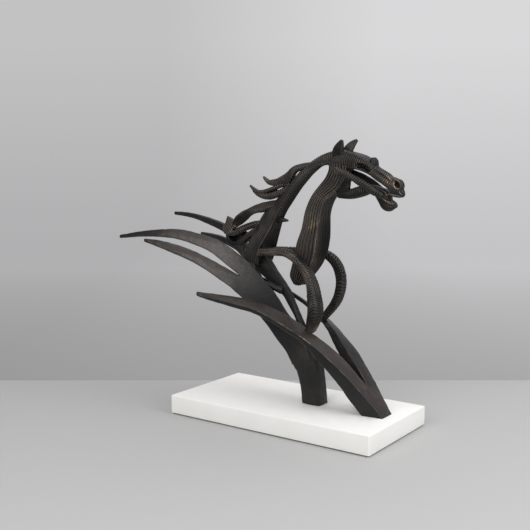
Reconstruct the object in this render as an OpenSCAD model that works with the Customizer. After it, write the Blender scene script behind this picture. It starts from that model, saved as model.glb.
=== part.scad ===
// Leaping horse: a bronze statue of curved blades and ribbed strands on a flat rectangular plinth.
// Frame: millimetres, +X towards the muzzle, +Y towards the far side, +Z up.
// The origin is the middle of the underside of the felt.

/* [Plinth] */
// Length of the plinth
plinth_l = 300; // [280:1:320]
// Depth of the plinth
plinth_w = 150; // [140:1:170]
// Height of the stone block
plinth_h = 24; // [22:0.5:30]
// Radius of the upright corners of the plinth
plinth_corner_r = 2; // [1:0.5:6]
// Thickness of the felt under the plinth
felt_t = 1.5; // [1:0.5:2]
// How far the felt stops short of the plinth's edge
felt_inset = 2; // [1:0.5:6]

/* [Foot bolts] */
// Diameter of each foot bolt
bolt_d = 8; // [6:1:10]
// How far a bolt reaches up into a foot
bolt_grip = 12; // [8:1:14]
// Diameter of the counterbore under the plinth
counterbore_d = 22; // [20:1:26]
// Depth of the counterbore
counterbore_h = 9; // [8:0.5:12]
// Outside diameter of a washer
washer_d = 18; // [16:1:19]
// Thickness of a washer
washer_t = 1.6; // [1:0.2:2]
// Play round a bolt in the plinth
bolt_play = 0.5; // [0.3:0.1:0.8]

/* [Statue] */
// Where the statue's middle plane stands across the plinth
mid_y = 5; // [0:1:10]
// Rings of facets between two neighbouring stations
ring_steps = 2; // [1:1:3]
// Sides of a round strand
strand_sides = 10; // [8:2:12]

/* [Hidden] */
top_z = felt_t + plinth_h;

// Where the two foot bolts stand along the plinth
BOLT_X = [26, 108];

// A band or blade is a row of stations [edge a, edge b, thickness]; an edge is [x, side, z], and
// side is the distance from the middle plane, less than 0 on the near side.
REAR_STEM = [
    [[41, -10.5, 10], [41, 10.5, 10], 27.5],
    [[38, -10.5, 50], [38, 10.5, 50], 28],
    [[34.5, -10.5, 72], [34.5, 10.5, 72], 31],
    [[31, -10.5, 84], [31, 10.5, 84], 34]
];
SPINE_STRUT = [
    [[33, -10, 84], [20, -10, 80], 20],
    [[24, -8.5, 102], [15, -8.5, 98.5], 17],
    [[13, -6, 120], [7, -6, 117.5], 12],
    [[3.9, -4.5, 137], [-1.5, -4.5, 135], 9],
    [[-4.5, -4, 154], [-11.5, -4, 149.5], 8],
    [[-11.5, -4, 168], [-21, -4, 162.5], 7.5],
    [[-20, -4, 179], [-34, -4, 172.5], 7.5],
    [[-31, -4, 192], [-47, -5, 182.5], 8],
    [[-41, -5, 205], [-60, -6, 193.5], 9],
    [[-50, -6, 217], [-66, -7, 206], 10]
];
NEAR_HAUNCH = [
    [[26, -10.5, 82.5], [-1.5, -10.5, 74.2], 10],
    [[17.5, -10, 102], [-9, -14, 91], 8],
    [[5, -10.5, 124], [-20, -19, 107], 7],
    [[-11, -12, 144.5], [-34, -25, 128], 6.5],
    [[-28, -14, 168], [-49, -30, 145], 6.5],
    [[-49, -16, 189], [-66, -35, 161], 6.5],
    [[-60, -17, 200], [-82, -40, 175], 6.5]
];
NEAR_UPPER_BLADE = [
    [[-60, -17, 200], [-71, -28.5, 187], 6.5],
    [[-78, -21, 214], [-88, -32, 199], 6.5],
    [[-106, -27, 231], [-117, -37, 218], 6.5],
    [[-136, -33, 240], [-142, -42, 228], 6.5],
    [[-166, -39, 245], [-170, -46, 234], 6],
    [[-197, -45, 244], [-198, -50, 235.5], 5.5],
    [[-230, -50, 240], [-230, -53, 234], 5],
    [[-263, -55, 234], [-263, -56, 229.5], 4]
];
NEAR_LOWER_BLADE = [
    [[-71, -28.5, 187], [-82, -40, 175], 7],
    [[-93, -34, 198], [-101, -44, 186.5], 7.5],
    [[-114, -39, 208], [-123, -49, 200], 7.5],
    [[-136, -44, 217], [-143, -53, 209], 7.5],
    [[-159, -48, 224], [-164, -57, 217], 7],
    [[-188, -55, 230], [-189, -60, 223], 6],
    [[-210, -61, 231.5], [-210, -62, 227], 4.5]
];
FAR_HAUNCH = [
    [[26, 10.5, 82.5], [-1.5, 10.5, 74.2], 10],
    [[11, 10.5, 102], [-9, 14, 91], 8],
    [[-10, 11, 122], [-26, 19, 110], 7],
    [[-32, 13, 142], [-46, 25, 128], 6.5],
    [[-53, 16, 162], [-66, 30, 146], 6],
    [[-70, 20, 180], [-84, 36, 162], 6],
    [[-82, 25, 199], [-103, 42, 183], 6]
];
FAR_UPPER_BLADE = [
    [[-82, 25, 199], [-93, 33.5, 191], 6],
    [[-100, 31, 221], [-109, 36, 209], 6],
    [[-124, 37, 239], [-129, 40, 227], 5.5],
    [[-153, 40, 250], [-154, 42, 239], 5],
    [[-181, 44, 256], [-181, 45, 247], 5],
    [[-208, 48, 260], [-208, 48.5, 253], 4.5],
    [[-234, 51.5, 262], [-234, 52, 256], 4],
    [[-254, 55, 261.5], [-254, 55, 257], 3.5]
];
FAR_LOWER_BLADE = [
    [[-93, 33.5, 191], [-103, 42, 183], 6],
    [[-118, 43, 215], [-124, 47, 207.5], 5.5],
    [[-150, 49, 227], [-151, 50, 218], 5],
    [[-180, 53, 232], [-181, 54, 226], 4.5],
    [[-205, 57, 233], [-205, 57, 229], 3.5]
];
FRONT_STEM = [
    [[140, -11.5, 14.5], [140, 11.5, 14.5], 23.5],
    [[131.5, -13, 25.5], [131.5, 13, 25.5], 23.5],
    [[123, -15, 36.5], [123, 15, 36.5], 22],
    [[114, -18.5, 47], [114, 18.5, 47], 21],
    [[105, -22, 57.5], [105, 22, 57.5], 20]
];
NEAR_FRONT_BLADE = [
    [[105, 0, 57.5], [105, -22, 57.5], 20],
    [[89.5, -5, 76], [90, -27, 73.5], 17],
    [[72, -9, 94], [71.5, -34, 92], 14],
    [[54, -16, 110], [53, -38, 106.5], 11],
    [[36, -22, 122.5], [34, -42, 119.5], 7],
    [[18, -24, 134], [15, -46.5, 130], 6.5],
    [[-3, -29, 145], [-7, -50, 140.5], 6.5],
    [[-28, -35, 155], [-33, -53, 150], 6.5],
    [[-54, -41, 160.5], [-59, -57, 154.5], 6.5],
    [[-84, -49, 163.5], [-88, -60, 158.5], 5.5],
    [[-119, -59.5, 166], [-118, -62, 161.5], 4.5]
];
FAR_FRONT_BLADE = [
    [[105, 0, 57.5], [105, 22, 57.5], 20],
    [[89.5, 5, 76], [90, 27, 73.5], 17],
    [[72, 9, 94], [71.5, 34, 92], 14],
    [[54, 16, 110], [53, 38, 106.5], 11],
    [[37, 22, 125.5], [35, 42, 120], 8],
    [[18, 26, 138], [16, 42, 133.5], 6],
    [[-6, 32, 150], [-7, 43, 146], 5],
    [[-36, 36, 163], [-37, 45, 159], 5],
    [[-66, 41, 172], [-67, 49, 168], 4.5],
    [[-100, 48, 178], [-100, 52, 175], 3.5]
];

// A strand is a row of stations [x, side, z, height across the sweep, thickness from near to far].
NEAR_FORELEG = [
    [-48, -15, 219, 9, 12],
    [-22, -18, 221, 9, 12],
    [-4, -19, 220.5, 9, 14],
    [12, -19, 212.5, 9, 15],
    [25, -19, 199.5, 9, 16],
    [34, -19, 183, 10, 18],
    [38, -19.5, 164, 13, 20],
    [39.5, -20, 150, 14, 21],
    [37, -20, 138, 13, 19],
    [33, -20, 126, 9, 15]
];
FAR_FORELEG = [
    [-46, 16, 219, 8, 11],
    [-18, 20, 220, 8, 11],
    [12, 21, 221.5, 8, 12],
    [32, 21, 217, 9, 12],
    [45, 21, 207, 10, 12],
    [52, 21, 192, 10.5, 12],
    [52.5, 21, 177, 10.5, 12],
    [48.5, 21, 163, 10, 12],
    [42, 21, 152, 9.5, 11],
    [32, 21, 140, 8, 10],
    [24, 22, 132, 7, 9]
];
LOCK_1 = [
    [21, 0, 332, 7, 10], [7.5, -1, 330, 7.5, 9], [-4.5, -1, 326, 8.5, 9], [-12.5, -1, 317.5, 12, 9],
    [-20, -1, 312, 14, 9], [-31, -1, 309.5, 10, 8], [-43.5, -1, 309.5, 6, 5], [-49, -1, 312.5, 4.5, 4],
    [-53, -1, 316, 2.5, 2.5]
];
LOCK_2 = [
    [-24, 0, 299, 20, 10], [-38, -1, 297, 19, 10], [-50, -1, 295, 14, 9],
    [-60, -1, 297, 9, 7], [-68, -1, 300.5, 6, 5], [-75, -1, 305, 3, 3]
];
LOCK_3 = [
    [-30, 0, 281.5, 9, 9], [-41, -2, 279.5, 9.5, 8.5], [-52, -3, 276.5, 11.5, 8],
    [-63, -4, 274, 9.5, 7], [-72, -5, 270.5, 9.5, 7], [-82, -6, 264.5, 12.5, 7],
    [-91, -6, 258, 12.5, 7], [-97, -6, 252, 8, 6]
];
LOCK_4 = [
    [-52, 0, 255, 9, 10], [-67, -3, 252, 9, 9], [-81, -5, 248.5, 8, 8], [-92, -6, 244.5, 8, 10],
    [-102, -7, 243, 10, 12], [-108, -7, 248, 14, 14], [-109, -5, 257, 10, 11], [-109.5, -4, 262, 4, 5]
];
LOCK_5 = [
    [-62, 0, 246, 9, 14], [-73, -3, 239.5, 7, 14], [-84, -5, 230.5, 6, 14], [-95, -5, 226.5, 5.5, 13],
    [-105, -4, 230, 5.5, 12], [-109, -4, 238, 4.5, 10]
];
NEAR_EAR = [
    [59, -4, 334, 12, 6], [61.5, -6.5, 343, 15, 7], [63.5, -8, 350.5, 13.5, 7], [66.5, -8.5, 357, 8.5, 5],
    [68.7, -8.5, 362, 2.5, 3]
];
FAR_EAR = [
    [62, 4, 334, 12, 6], [65, 6.5, 344, 15, 7], [69, 7.5, 351.5, 11.5, 7], [74, 8, 357.5, 8, 5],
    [80, 8.5, 362, 2.5, 3]
];
NEAR_CHEEK = [
    [62, -9.5, 325.5, 8, 7], [73, -10.5, 322.5, 7, 7], [81, -11, 318.9, 6.5, 7], [89.8, -11, 314.4, 7, 7],
    [97.3, -11, 310.4, 8, 7], [104.5, -10, 306.2, 8, 6.5], [112.5, -9, 300.8, 8, 6.5], [122, -7, 296, 7, 6]
];
FAR_CHEEK = [
    [54, 8.5, 325, 9, 8], [66, 10.5, 323.5, 8.5, 7], [74.2, 10.5, 321.5, 8, 7], [84.6, 10.5, 317.9, 8, 7],
    [95, 10, 313.1, 8.5, 7], [106, 9, 306.6, 9, 6], [116.5, 8, 299, 8.5, 6], [122, 7, 294.5, 7, 6]
];
NEAR_JOWL = [
    [54, -6.5, 309, 17, 5], [60, -7.5, 309, 20, 5.5], [68, -8, 309, 21, 5.5], [75, -8.5, 308.5, 18, 5.5],
    [79.5, -8.5, 308, 13, 5]
];
FAR_JOWL = [[48, 7, 312, 12, 5], [56, 8, 311, 18, 6], [63, 8, 310, 18, 6], [69, 7.5, 308.5, 14, 5]];
// Either brow; the near one is its mirror image
BROW = [
    [105, 4, 328, 11, 8], [107.5, 3.5, 333, 9.5, 7], [108, 3, 336.5, 8, 6], [108, 2.8, 338.4, 7, 5.6],
    [108, 2.8, 339.4, 4.5, 4]
];
// Small spike on the throat side of the neck
NECK_BARB = [[-30, 0, 261, 8, 7], [-23, 0, 261, 5, 5], [-18, 0, 260.5, 3, 3], [-15.5, 0, 260.5, 1.8, 1.8]];
// Short weld bar that ties the near haunch to the spine strut
HAUNCH_BRIDGE = [[-38, -11, 176.5, 8, 6], [-30, -8, 172.5, 8, 6], [-22, -5.5, 169, 9, 6]];

// A body in the middle plane is a row of stations [back x, back z, back half width,
// front x, front z, front half width]; its front face spans from the near to the far ridge.
NECK_CREST = [
    [56, 350, 6, 52, 332, 9],
    [36, 344, 4, 34, 331, 10],
    [18, 334.5, 3, 20, 322.5, 11.5],
    [4, 324, 3, 9, 313, 13],
    [-9, 311.5, 3, -3, 300, 13.5],
    [-21, 299, 3, -13, 286, 12.5],
    [-34, 286, 3, -22, 273, 11.5],
    [-47, 275, 4, -29, 260, 11.5],
    [-57, 262, 5, -34, 249, 14],
    [-64, 247, 7, -40, 237, 18],
    [-72, 232, 9, -46, 225, 21],
    [-79, 218, 11, -50, 212, 21],
    [-80, 207, 12, -52, 202, 18]
];
CHEST = [
    [46, 338, 8, 75, 331, 11],
    [50, 328, 10, 74, 317, 11.5],
    [45, 317.5, 9, 65, 303, 11],
    [35.5, 307, 9, 54, 295, 12],
    [25.5, 294, 10, 46.5, 288, 14],
    [16, 275, 11, 41.5, 274, 14],
    [12, 254, 12, 39.5, 254, 16],
    [6, 236, 13, 38, 238, 17],
    [2, 218, 13, 35, 222, 16.5],
    [-2, 202, 13, 29, 206, 14],
    [-5, 190, 12, 18, 190, 11],
    [-2, 180, 9, 7, 178, 7]
];
// The head's bodies run from the poll to the lips: back is the top profile, front the underside.
SKULL = [
    [52, 349.5, 6, 52, 329, 8],
    [66, 350, 9, 66, 330, 10],
    [80, 347.5, 11, 81, 328, 11],
    [94, 343.5, 12, 94, 325.3, 12],
    [105, 337, 11, 106, 320.5, 11],
    [113, 330, 8, 114, 314.5, 9],
    [123, 322.5, 6.5, 122, 309.5, 8],
    [131, 318.5, 6, 129, 304.5, 7.5],
    [138.5, 316.5, 5.5, 134, 299, 7],
    [144.5, 312.5, 5, 139.5, 296, 6.5],
    [147.5, 303, 4.5, 145.5, 295.5, 5]
];
LOWER_JAW = [
    [63, 305, 8, 61, 291.5, 6],
    [78, 303, 10, 78, 291, 8],
    [91, 306.5, 9, 93, 294, 7],
    [104, 308.5, 7.5, 107, 299, 6.5],
    [117, 306, 7, 111, 296.5, 6],
    [126, 302, 7, 116, 289.5, 6],
    [130.5, 296, 7, 121, 281.5, 6],
    [131.5, 290.5, 6.5, 126, 278, 6],
    [134, 288, 5.5, 131, 277.5, 5.5],
    [138, 286, 4, 137, 281, 4]
];

// Control point i of a row, carried on in a straight line past either end
function control(row, i) =
    i < 0 ? 2 * row[0] - row[1] :
    i >= len(row) ? 2 * row[len(row) - 1] - row[len(row) - 2] :
    row[i];

// Smooth curve through a row of numbers or vectors, at fraction f after point i
function through(row, i, f) =
    let (a = control(row, i - 1), b = row[i], c = control(row, i + 1), d = control(row, i + 2))
    b + 0.5 * f * ((c - a) + f * ((2 * a - 5 * b + 4 * c - d) + f * (3 * b - a - 3 * c + d)));

// The row again with steps - 1 smooth points added between neighbours
function smooth(row, steps) = [
    for (i = [0 : len(row) - 2]) for (k = [0 : steps - 1]) through(row, i, k / steps),
    row[len(row) - 1]
];

function unit(v) = v / norm(v);
function column(rows, i) = [for (r = rows) r[i]];
function mean(points) = [for (i = [0 : 2]) [for (p = points) p[i]] * [for (p = points) 1 / len(points)]];

// Direction of a smooth path at point i
function heading(path, i) = unit(control(path, i + 1) - control(path, i - 1));

// Six times the volume inside a set of triangles
function volume6(points, faces) =
    [for (f = faces) cross(points[f[0]], points[f[1]]) * points[f[2]]] * [for (f = faces) 1];

// A closed solid through rings that all have the same number of points
module loft(rings) {
    n = len(rings[0]);
    last = len(rings) - 1;
    points = concat([for (ring = rings) each ring], [mean(rings[0]), mean(rings[last])]);
    walls = [
        for (i = [0 : last - 1]) for (k = [0 : n - 1])
        let (m = (k + 1) % n)
        each [[i * n + k, i * n + m, (i + 1) * n + m], [i * n + k, (i + 1) * n + m, (i + 1) * n + k]]
    ];
    ends = [
        for (k = [0 : n - 1])
        let (m = (k + 1) % n)
        each [[m, k, len(points) - 2], [last * n + k, last * n + m, len(points) - 1]]
    ];
    faces = concat(walls, ends);
    outward = volume6(points, faces) < 0;
    polyhedron(points, outward ? faces : [for (f = faces) [f[2], f[1], f[0]]]);
}

function in_place(p) = [p[0], p[1] + mid_y, p[2]];

// A blade between two edges, with its thickness laid to one side of the face between them
module blade(stations, way = 1) {
    a = smooth(column(stations, 0), ring_steps);
    b = smooth(column(stations, 1), ring_steps);
    t = smooth(column(stations, 2), ring_steps);
    middle = (a + b) / 2;
    rings = [
        for (i = [0 : len(a) - 1])
        let (inward = way * t[i] * unit(cross(heading(middle, i), b[i] - a[i])))
        [in_place(a[i]), in_place(b[i]), in_place(b[i] + inward), in_place(a[i] + inward)]
    ];
    loft(rings);
}

// A round strand along its stations
module strand(stations, side = 1) {
    path = smooth([for (s = stations) [s[0], side * s[1], s[2]]], ring_steps);
    tall = smooth(column(stations, 3), ring_steps);
    thick = smooth(column(stations, 4), ring_steps);
    rings = [
        for (i = [0 : len(path) - 1])
        let (
            along = heading(path, i),
            across = unit([0, 1, 0] - along[1] * along),
            up = cross(along, across)
        )
        [
            for (k = [0 : strand_sides - 1])
            let (turn = 360 * k / strand_sides)
            in_place(path[i] + up * cos(turn) * tall[i] / 2 + across * sin(turn) * thick[i] / 2)
        ]
    ];
    loft(rings);
}

// A body in the middle plane; bulge rounds its sides, and dish hollows its front face
module middle_body(stations, bulge = 2, dish = 2) {
    rows = smooth(stations, ring_steps);
    rings = [
        for (s = rows)
        let (
            back = [s[0], 0, s[1]],
            front = [s[3], 0, s[4]],
            ahead = unit(front - back),
            half = (s[2] + s[5]) / 2 + bulge,
            belly = (back + front) / 2
        )
        [
            in_place(back - ahead),
            in_place(back - [0, s[2], 0]),
            in_place(belly - [0, half, 0]),
            in_place(front - [0, s[5], 0]),
            in_place(front - dish * ahead),
            in_place(front + [0, s[5], 0]),
            in_place(belly + [0, half, 0]),
            in_place(back + [0, s[2], 0])
        ]
    ];
    loft(rings);
}

module at_each_foot() {
    for (x = BOLT_X) translate([x, mid_y, 0]) children();
}

module rounded_rectangle(l, w, r) {
    square([l - 2 * r, w], center = true);
    square([l, w - 2 * r], center = true);
    for (x = [-1, 1]) for (y = [-1, 1])
        translate([x * (l / 2 - r), y * (w / 2 - r)]) circle(r, $fn = 48);
}

// Bore for a foot bolt, in a foot or in the plinth
module bolt_bore(d) {
    translate([0, 0, -1]) cylinder(d = d, h = top_z + bolt_grip + 2, $fn = 48);
}

module plinth() {
    color("whitesmoke")
    difference() {
        translate([0, 0, felt_t])
            linear_extrude(plinth_h) rounded_rectangle(plinth_l, plinth_w, plinth_corner_r);
        at_each_foot() bolt_bore(bolt_d + 2 * bolt_play);
        at_each_foot() cylinder(d = counterbore_d, h = felt_t + counterbore_h, $fn = 64);
    }
}

module base_felt() {
    color("dimgray")
    linear_extrude(felt_t)
        rounded_rectangle(plinth_l - 2 * felt_inset, plinth_w - 2 * felt_inset, plinth_corner_r);
}

// Hexagon-head bolts that pull the feet down on the plinth
module foot_bolts() {
    head_h = 0.65 * bolt_d;
    head_z = felt_t + counterbore_h - washer_t - head_h;
    color("silver")
    at_each_foot() translate([0, 0, head_z]) {
        cylinder(d = 1.85 * bolt_d, h = head_h, $fn = 6);
        cylinder(d = bolt_d, h = top_z + bolt_grip - head_z, $fn = 48);
    }
}

module foot_washers() {
    color("silver")
    at_each_foot() translate([0, 0, felt_t + counterbore_h - washer_t])
        difference() {
            cylinder(d = washer_d, h = washer_t, $fn = 64);
            translate([0, 0, -1])
                cylinder(d = bolt_d + bolt_play, h = washer_t + 2, $fn = 48);
        }
}

// A stem, cut off level where it stands on the plinth and bored for its bolt
module stem(stations, bolt_x) {
    color([0.13, 0.12, 0.11])
    difference() {
        blade(stations);
        translate([-plinth_l, -plinth_w, top_z - 2 * plinth_h])
            cube(2 * [plinth_l, plinth_w, plinth_h]);
        translate([bolt_x, mid_y, 0]) bolt_bore(bolt_d);
    }
}

module bronze_blade(stations, way) {
    color([0.16, 0.15, 0.14]) blade(stations, way);
}

module bronze_strand(stations, side = 1) {
    color([0.2, 0.17, 0.14]) strand(stations, side);
}

module bronze_body(stations, bulge, dish) {
    color([0.18, 0.16, 0.14]) middle_body(stations, bulge, dish);
}

plinth();
base_felt();
foot_bolts();
foot_washers();
stem(REAR_STEM, BOLT_X[0]);  // rear_stem
bronze_blade(SPINE_STRUT, -1);  // spine_strut
bronze_blade(NEAR_HAUNCH, -1);  // near_haunch
bronze_blade(NEAR_UPPER_BLADE, -1);  // near_upper_blade
bronze_blade(NEAR_LOWER_BLADE, -1);  // near_lower_blade
bronze_blade(FAR_HAUNCH, 1);  // far_haunch
bronze_blade(FAR_UPPER_BLADE, 1);  // far_upper_blade
bronze_blade(FAR_LOWER_BLADE, 1);  // far_lower_blade
stem(FRONT_STEM, BOLT_X[1]);  // front_stem
bronze_blade(NEAR_FRONT_BLADE, -1);  // near_front_blade
bronze_blade(FAR_FRONT_BLADE, 1);  // far_front_blade
bronze_body(NECK_CREST, 1, 2);  // neck_crest
bronze_body(CHEST, 1, 1.5);  // chest
bronze_strand(NEAR_FORELEG);  // near_foreleg
bronze_strand(FAR_FORELEG);  // far_foreleg
bronze_body(SKULL, 2, 0);  // skull
bronze_body(LOWER_JAW, 1, 0);  // lower_jaw
bronze_strand(NEAR_CHEEK);  // near_cheek
bronze_strand(FAR_CHEEK);  // far_cheek
bronze_strand(NEAR_JOWL);  // near_jowl
bronze_strand(FAR_JOWL);  // far_jowl
bronze_strand(BROW, -1);  // near_brow
bronze_strand(BROW, 1);  // far_brow
bronze_strand(NEAR_EAR);  // near_ear
bronze_strand(FAR_EAR);  // far_ear
bronze_strand(LOCK_1);  // mane_lock_1
bronze_strand(LOCK_2);  // mane_lock_2
bronze_strand(LOCK_3);  // mane_lock_3
bronze_strand(LOCK_4);  // mane_lock_4
bronze_strand(LOCK_5);  // mane_lock_5
bronze_strand(NECK_BARB);  // neck_barb
bronze_strand(HAUNCH_BRIDGE);  // haunch_bridge
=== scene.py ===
"""Leaping horse in bronze: smooth curved blades and ribbed strands on a white plinth.

Blender works in metres. The shape tables are in millimetres: a point is [x, side, z], where side
is its distance from the statue's middle plane, less than 0 on the side that faces the viewer.
"""
import math

import bmesh
import bpy
import numpy as np
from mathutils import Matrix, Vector


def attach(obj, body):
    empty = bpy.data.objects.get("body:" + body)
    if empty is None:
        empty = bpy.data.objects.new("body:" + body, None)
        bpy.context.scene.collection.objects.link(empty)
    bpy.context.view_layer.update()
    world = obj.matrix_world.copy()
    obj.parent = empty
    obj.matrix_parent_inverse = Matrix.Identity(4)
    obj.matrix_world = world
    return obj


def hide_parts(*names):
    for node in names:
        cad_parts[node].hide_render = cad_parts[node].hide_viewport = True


MM = 0.001
MID_Y = 5.0
BODY = "root"

# ---------------------------------------------------------------- shape tables
# A band or blade is a row of stations [edge a, edge b, thickness].
REAR_STEM = [
    [[40.5, -10.5, 25.5], [40.5, 10.5, 25.5], 27.7],
    [[38, -10.5, 50], [38, 10.5, 50], 28],
    [[34.5, -10.5, 72], [34.5, 10.5, 72], 31],
    [[31, -10.5, 84], [31, 10.5, 84], 34],
]
SPINE_STRUT = [
    [[33, -10, 84], [20, -10, 80], 20],
    [[24, -8.5, 102], [15, -8.5, 98.5], 17],
    [[13, -6, 120], [7, -6, 117.5], 12],
    [[3.9, -4.5, 137], [-1.5, -4.5, 135], 9],
    [[-4.5, -4, 154], [-11.5, -4, 149.5], 8],
    [[-11.5, -4, 168], [-21, -4, 162.5], 7.5],
    [[-20, -4, 179], [-34, -4, 172.5], 7.5],
    [[-31, -4, 192], [-47, -5, 182.5], 8],
    [[-41, -5, 205], [-60, -6, 193.5], 9],
    [[-50, -6, 217], [-66, -7, 206], 10],
]
NEAR_HAUNCH = [
    [[26, -10.5, 82.5], [-1.5, -10.5, 74.2], 10],
    [[17.5, -10, 102], [-9, -14, 91], 8],
    [[5, -10.5, 124], [-20, -19, 107], 7],
    [[-11, -12, 144.5], [-34, -25, 128], 6.5],
    [[-28, -14, 168], [-49, -30, 145], 6.5],
    [[-49, -16, 189], [-66, -35, 161], 6.5],
    [[-60, -17, 200], [-82, -40, 175], 6.5],
]
NEAR_UPPER_BLADE = [
    [[-60, -17, 200], [-71, -28.5, 187], 6.5],
    [[-78, -21, 214], [-88, -32, 199], 6.5],
    [[-106, -27, 231], [-117, -37, 218], 6.5],
    [[-136, -33, 240], [-142, -42, 228], 6.5],
    [[-166, -39, 245], [-170, -46, 234], 6],
    [[-197, -45, 244], [-198, -50, 235.5], 5.5],
    [[-230, -50, 240], [-230, -53, 234], 5],
    [[-263, -55, 234], [-263, -56, 229.5], 4],
]
NEAR_LOWER_BLADE = [
    [[-71, -28.5, 187], [-82, -40, 175], 7],
    [[-93, -34, 198], [-101, -44, 186.5], 7.5],
    [[-114, -39, 208], [-123, -49, 200], 7.5],
    [[-136, -44, 217], [-143, -53, 209], 7.5],
    [[-159, -48, 224], [-164, -57, 217], 7],
    [[-188, -55, 230], [-189, -60, 223], 6],
    [[-210, -61, 231.5], [-210, -62, 227], 4.5],
]
FAR_HAUNCH = [
    [[26, 10.5, 82.5], [-1.5, 10.5, 74.2], 10],
    [[11, 10.5, 102], [-9, 14, 91], 8],
    [[-10, 11, 122], [-26, 19, 110], 7],
    [[-32, 13, 142], [-46, 25, 128], 6.5],
    [[-53, 16, 162], [-66, 30, 146], 6],
    [[-70, 20, 180], [-84, 36, 162], 6],
    [[-82, 25, 199], [-103, 42, 183], 6],
]
FAR_UPPER_BLADE = [
    [[-82, 25, 199], [-93, 33.5, 191], 6],
    [[-100, 31, 221], [-109, 36, 209], 6],
    [[-124, 37, 239], [-129, 40, 227], 5.5],
    [[-153, 40, 250], [-154, 42, 239], 5],
    [[-181, 44, 256], [-181, 45, 247], 5],
    [[-208, 48, 260], [-208, 48.5, 253], 4.5],
    [[-234, 51.5, 262], [-234, 52, 256], 4],
    [[-254, 55, 261.5], [-254, 55, 257], 3.5],
]
FAR_LOWER_BLADE = [
    [[-93, 33.5, 191], [-103, 42, 183], 6],
    [[-118, 43, 215], [-124, 47, 207.5], 5.5],
    [[-150, 49, 227], [-151, 50, 218], 5],
    [[-180, 53, 232], [-181, 54, 226], 4.5],
    [[-205, 57, 233], [-205, 57, 229], 3.5],
]
FRONT_STEM = [
    [[131.5, -13, 25.5], [131.5, 13, 25.5], 23.5],
    [[123, -15, 36.5], [123, 15, 36.5], 22],
    [[114, -18.5, 47], [114, 18.5, 47], 21],
    [[105, -22, 57.5], [105, 22, 57.5], 20],
]
NEAR_FRONT_BLADE = [
    [[105, 0, 57.5], [105, -22, 57.5], 20],
    [[89.5, -5, 76], [90, -27, 73.5], 17],
    [[72, -9, 94], [71.5, -34, 92], 14],
    [[54, -16, 110], [53, -38, 106.5], 11],
    [[36, -22, 122.5], [34, -42, 119.5], 7],
    [[18, -24, 134], [15, -46.5, 130], 6.5],
    [[-3, -29, 145], [-7, -50, 140.5], 6.5],
    [[-28, -35, 155], [-33, -53, 150], 6.5],
    [[-54, -41, 160.5], [-59, -57, 154.5], 6.5],
    [[-84, -49, 163.5], [-88, -60, 158.5], 5.5],
    [[-119, -59.5, 166], [-118, -62, 161.5], 4.5],
]
FAR_FRONT_BLADE = [
    [[105, 0, 57.5], [105, 22, 57.5], 20],
    [[89.5, 5, 76], [90, 27, 73.5], 17],
    [[72, 9, 94], [71.5, 34, 92], 14],
    [[54, 16, 110], [53, 38, 106.5], 11],
    [[37, 22, 125.5], [35, 42, 120], 8],
    [[18, 26, 138], [16, 42, 133.5], 6],
    [[-6, 32, 150], [-7, 43, 146], 5],
    [[-36, 36, 163], [-37, 45, 159], 5],
    [[-66, 41, 172], [-67, 49, 168], 4.5],
    [[-100, 48, 178], [-100, 52, 175], 3.5],
]
# A strand is a row of stations [x, side, z, height across the sweep, thickness near to far].
NEAR_FORELEG = [
    [-48, -15, 219, 9, 12],
    [-22, -18, 221, 9, 12],
    [-4, -19, 220.5, 9, 14],
    [12, -19, 212.5, 9, 15],
    [25, -19, 199.5, 9, 16],
    [34, -19, 183, 10, 18],
    [38, -19.5, 164, 13, 20],
    [39.5, -20, 150, 14, 21],
    [37, -20, 138, 13, 19],
    [33, -20, 126, 9, 15],
]
FAR_FORELEG = [
    [-46, 16, 219, 8, 11],
    [-18, 20, 220, 8, 11],
    [12, 21, 221.5, 8, 12],
    [32, 21, 217, 9, 12],
    [45, 21, 207, 10, 12],
    [52, 21, 192, 10.5, 12],
    [52.5, 21, 177, 10.5, 12],
    [48.5, 21, 163, 10, 12],
    [42, 21, 152, 9.5, 11],
    [32, 21, 140, 8, 10],
    [24, 22, 132, 7, 9],
]
LOCK_1 = [
    [21, 0, 332, 7, 10], [7.5, -1, 330, 7.5, 9], [-4.5, -1, 326, 8.5, 9], [-12.5, -1, 317.5, 12, 9],
    [-20, -1, 312, 14, 9], [-31, -1, 309.5, 10, 8], [-43.5, -1, 309.5, 6, 5], [-49, -1, 312.5, 4.5, 4],
    [-53, -1, 316, 2.5, 2.5],
]
LOCK_2_UPPER = [
    [-14, 0, 307, 7, 9], [-22, -1, 306.5, 5, 9], [-32, -1, 303.5, 4.5, 9], [-43, -1, 300, 4.5, 8],
    [-53, -1, 297, 5, 7], [-62, -1, 296.5, 5, 6], [-69, -1, 300, 4.5, 5], [-75, -1, 304.5, 2.5, 3],
]
LOCK_2_LOWER = [
    [-15, 0, 300, 12, 10], [-23, -1, 297.5, 8.5, 10], [-33, -1, 294, 8, 10], [-43, -1, 291.5, 8.5, 9],
    [-53, -1, 291.5, 7.5, 8], [-62, -1, 294, 6, 6.5], [-69, -1, 298.5, 4.5, 5],
]
LOCK_2_WEB = [[-34, 1, 298, 6, 3], [-43, 1, 296, 8, 3], [-52, 1, 294, 7, 3], [-62, 0, 295, 4, 3]]
LOCK_3 = [
    [-30, 0, 281.5, 9, 9, 25], [-41, -2, 279.5, 9.5, 8.5, 30], [-52, -3, 276.5, 11.5, 8, 32],
    [-63, -4, 274, 9.5, 7, 20], [-72, -5, 270.5, 9.5, 7, -10], [-82, -6, 264.5, 12.5, 7, -32],
    [-91, -6, 258, 12.5, 7, -32], [-97, -6, 252, 8, 6, -20],
]
LOCK_4 = [
    [-50, 0, 254, 8, 9, 0], [-58, -2, 254.5, 7.5, 9, -15], [-67, -4, 253.5, 7, 8.5, -35],
    [-83, -6, 248, 6.5, 8.5, -40], [-97, -7, 241.8, 6.5, 9, -25], [-106, -7, 240.5, 6, 9, 0],
]
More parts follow.
